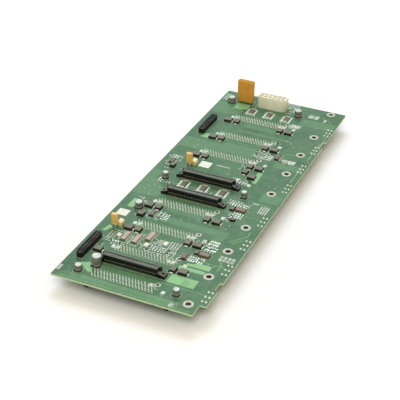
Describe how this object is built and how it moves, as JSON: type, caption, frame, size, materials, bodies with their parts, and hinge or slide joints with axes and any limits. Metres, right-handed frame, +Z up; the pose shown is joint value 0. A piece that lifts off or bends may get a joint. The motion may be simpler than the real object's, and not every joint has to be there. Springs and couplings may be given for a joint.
{
  "type": "drive backplane board",
  "caption": "Long circuit board with drive connectors in rows on its underside and cable, header and power connectors on top, held through a line of plated holes.",
  "frame": {"origin": "centre of the box's footprint, on the surface the drive connectors' guide posts rest on", "axes": "+Y along the board, away from the end with the recessed corner; +X towards the edge with the mounting holes; +Z up, from the drive side to the cable side"},
  "size_m": [0.1176, 0.332, 0.036],
  "materials": {
    "board_laminate": "green solder mask over glass laminate, satin",
    "solder_plating": "tin and solder, bright",
    "black_moulding": "black moulded plastic, low sheen",
    "gold_contact": "gold flashed pins",
    "natural_nylon": "natural off-white nylon, slightly translucent",
    "orange_epoxy": "ochre epoxy coating, satin",
    "tan_epoxy": "tan epoxy coating, satin",
    "cream_moulding": "cream moulded case",
    "can_aluminium": "bare drawn aluminium",
    "can_base": "black moulded base",
    "chip_moulding": "black moulding compound",
    "resistor_film": "grey-brown resistive film on ceramic",
    "pink_marked_moulding": "dusty pink topped moulding",
    "white_ceramic": "white glazed ceramic lid",
    "brown_moulding": "grey-brown moulding",
    "chip_ceramic": "pale ceramic chips with tinned ends",
    "label_paper": "blank white label",
    "lamp_lens": "clear tinted lens"
  },
  "bodies": {
    "root": {"black_blocks": "chip_moulding", "blank_label_far": "label_paper", "blank_label_near": "label_paper", "brown_blocks": "brown_moulding", "cable_connector_1": "black_moulding", "cable_connector_2": "black_moulding", "cable_connector_3": "black_moulding", "cable_contact_legs_1": "solder_plating", "cable_contact_legs_2": "solder_plating", "cable_contact_legs_3": "solder_plating", "capacitor_bases": "can_base", "capacitor_cans": "can_aluminium", "chip_resistors": "chip_ceramic", "circuit_board": "board_laminate", "diode_tabs": "solder_plating", "drive_connector_1": "black_moulding", "drive_connector_2": "black_moulding", "drive_connector_3": "black_moulding", "drive_connector_4": "black_moulding", "drive_connector_5": "black_moulding", "drive_connector_6": "black_moulding", "drive_connector_7": "black_moulding", "drive_contact_tails": "solder_plating", "film_capacitors": "cream_moulding", "hole_lands": "solder_plating", "lamp_blocks": "black_moulding", "lamp_lenses": "lamp_lens", "large_fuse": "orange_epoxy", "large_fuse_leads": "solder_plating", "logic_packages": "chip_moulding", "moulded_diodes_left": "chip_moulding", "moulded_diodes_right": "chip_moulding", "oscillator_caps": "white_ceramic", "package_feet": "solder_plating", "power_connector": "natural_nylon", "power_pins": "solder_plating", "side_header_far": "black_moulding", "side_header_near": "black_moulding", "side_header_pins_far": "gold_contact", "side_header_pins_near": "gold_contact", "small_fuse_leads": "solder_plating", "small_fuse_middle": "tan_epoxy", "small_fuse_near": "tan_epoxy", "strip_resistor_ends": "solder_plating", "strip_resistors": "resistor_film", "terminator_packages": "pink_marked_moulding"}
  },
  "joints": []
}
